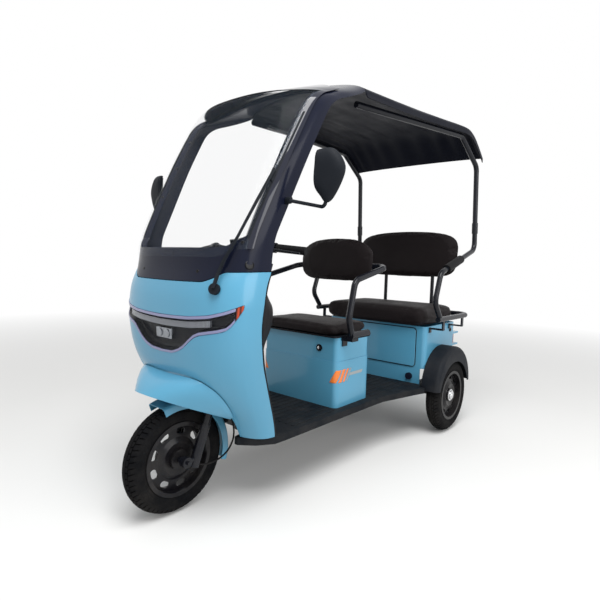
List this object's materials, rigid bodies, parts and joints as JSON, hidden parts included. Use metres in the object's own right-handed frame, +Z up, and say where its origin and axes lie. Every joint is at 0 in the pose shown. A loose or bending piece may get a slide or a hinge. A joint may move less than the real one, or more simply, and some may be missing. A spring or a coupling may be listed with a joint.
{
  "type": "electric three-wheel scooter",
  "caption": "Roofed electric passenger trike with a wrap-round cowl, windscreen, tube roof posts, driver's seat over a battery box and a rear bench between two wheels.",
  "frame": {"origin": "on the ground under the middle of the overall length and width", "axes": "+X forward along the vehicle, +Y to its left, +Z up"},
  "size_m": [2.0519, 1.1058, 1.7339],
  "materials": {
    "blue_gloss": "light blue gloss moulding",
    "dark_gloss": "dark grey gloss moulding",
    "black_gloss": "gloss black moulding",
    "matte_black": "grained black moulding",
    "black_paint": "gloss black paint on steel",
    "screen_glass": "clear screen",
    "clear_lens": "clear lens",
    "amber_lens": "amber lens",
    "red_lens": "red lens",
    "seat_leather": "dark brown leatherette",
    "soft_rubber": "black rubber",
    "tyre": "black tyre rubber",
    "battery_case": "grey moulded case",
    "cast_alloy": "cast alloy housing",
    "spring_steel": "dark spring steel"
  },
  "bodies": {
    "chassis": {"frame": "black_paint", "floor_panel": "matte_black", "front_cowl": "blue_gloss", "outer_fender": "blue_gloss", "lamp_panel": "black_gloss", "lamp_lenses": "clear_lens", "lamp_cover": "screen_glass", "indicators": "amber_lens", "inner_shield": "matte_black", "dash_top": "matte_black", "windscreen_frame": "dark_gloss", "windscreen": "screen_glass", "wiper": "matte_black", "roof_panel": "matte_black", "roof_posts": "black_paint", "seat_loop": "black_paint", "arm_pads": "soft_rubber", "front_seat_box": "blue_gloss", "seat_lock": "black_gloss", "battery": "battery_case", "front_backrest": "seat_leather", "front_seat_frame": "black_paint", "rear_box": "blue_gloss", "rear_box_panel": "blue_gloss", "charge_port": "matte_black", "rear_cushion": "seat_leather", "rear_backrest": "seat_leather", "rear_fenders": "matte_black", "tail_lamps": "red_lens", "rear_axle": "black_paint", "drive_motor": "cast_alloy", "leaf_springs": "spring_steel", "mirrors": "matte_black"},
    "steering": {"fork": "black_paint", "handlebar": "black_paint", "grips": "soft_rubber", "brake_levers": "black_paint", "instrument": "black_gloss", "front_mudguard": "blue_gloss", "brake_cable": "soft_rubber"},
    "front_wheel": {"front_tyre": "tyre", "front_rim": "black_paint"},
    "rear_left_wheel": {"rear_left_tyre": "tyre", "rear_left_rim": "black_paint"},
    "rear_right_wheel": {"rear_right_tyre": "tyre", "rear_right_rim": "black_paint"},
    "front_seat": {"front_seat_board": "matte_black", "front_cushion": "seat_leather"}
  },
  "joints": [
    {"name": "steer", "type": "hinge", "parent": "chassis", "child": "steering", "pos_m": [0.7763, 0, 0.205], "axis": [-0.342, 0, 0.9397], "range_deg": [-30, 30]},
    {"name": "front_wheel_spin", "type": "hinge", "parent": "steering", "child": "front_wheel", "pos_m": [0.821, 0, 0.205], "axis": [0, 1, 0], "continuous": true},
    {"name": "rear_left_wheel_spin", "type": "hinge", "parent": "chassis", "child": "rear_left_wheel", "pos_m": [-0.754, 0.378, 0.205], "axis": [0, 1, 0], "continuous": true},
    {"name": "rear_right_wheel_spin", "type": "hinge", "parent": "chassis", "child": "rear_right_wheel", "pos_m": [-0.754, -0.378, 0.205], "axis": [0, 1, 0], "continuous": true},
    {"name": "front_seat_lid", "type": "hinge", "parent": "chassis", "child": "front_seat", "pos_m": [-0.151, 0, 0.612], "axis": [0, -1, 0], "range_deg": [0, 60]}
  ]
}
